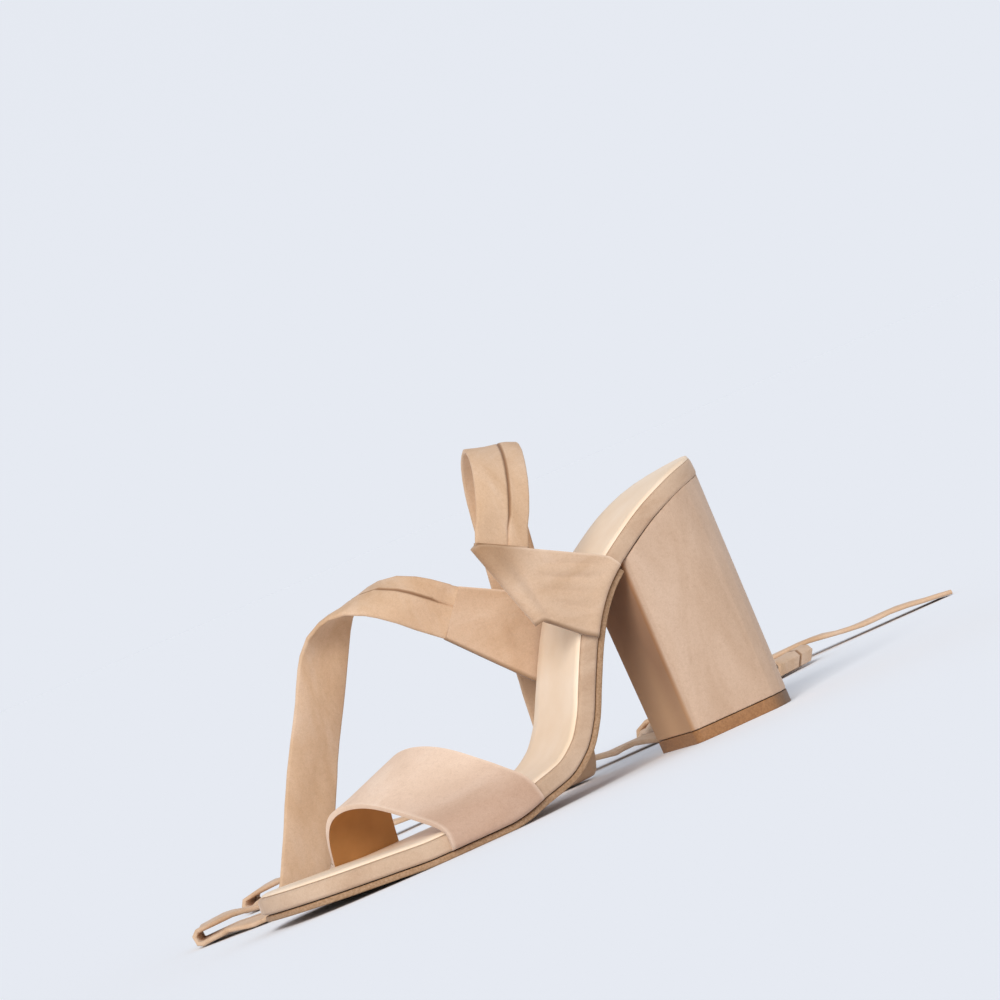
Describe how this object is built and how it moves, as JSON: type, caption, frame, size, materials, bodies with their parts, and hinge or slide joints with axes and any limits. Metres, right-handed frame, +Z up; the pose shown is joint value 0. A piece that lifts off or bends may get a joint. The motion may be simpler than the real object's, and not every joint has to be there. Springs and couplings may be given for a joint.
{
  "type": "lace up heeled sandal",
  "caption": "Open sandal with a broad toe band, two quarter tabs that carry long flat ankle ties, a steep arch and a tall block heel.",
  "frame": {"origin": "on the floor, under the middle of the shoe's box without its ties", "axes": "+Y from the toe towards the heel, +X towards the outer (lateral) side, +Z up"},
  "size_m": [0.3618, 0.3779, 0.1297],
  "materials": {
    "suede": "fine napped suede, tan",
    "insole_leather": "smooth sock lining, cream",
    "outsole_rubber": "thin matt sole, brown",
    "heel_top_rubber": "hard top piece, brown"
  },
  "bodies": {
    "root": {"outsole": "outsole_rubber", "footbed": "suede", "insole": "insole_leather", "heel_block": "suede", "heel_top_piece": "heel_top_rubber", "toe_band": "suede", "lateral_tab": "suede", "medial_tab": "suede", "lateral_tie": "suede", "medial_tie": "suede"}
  },
  "joints": []
}
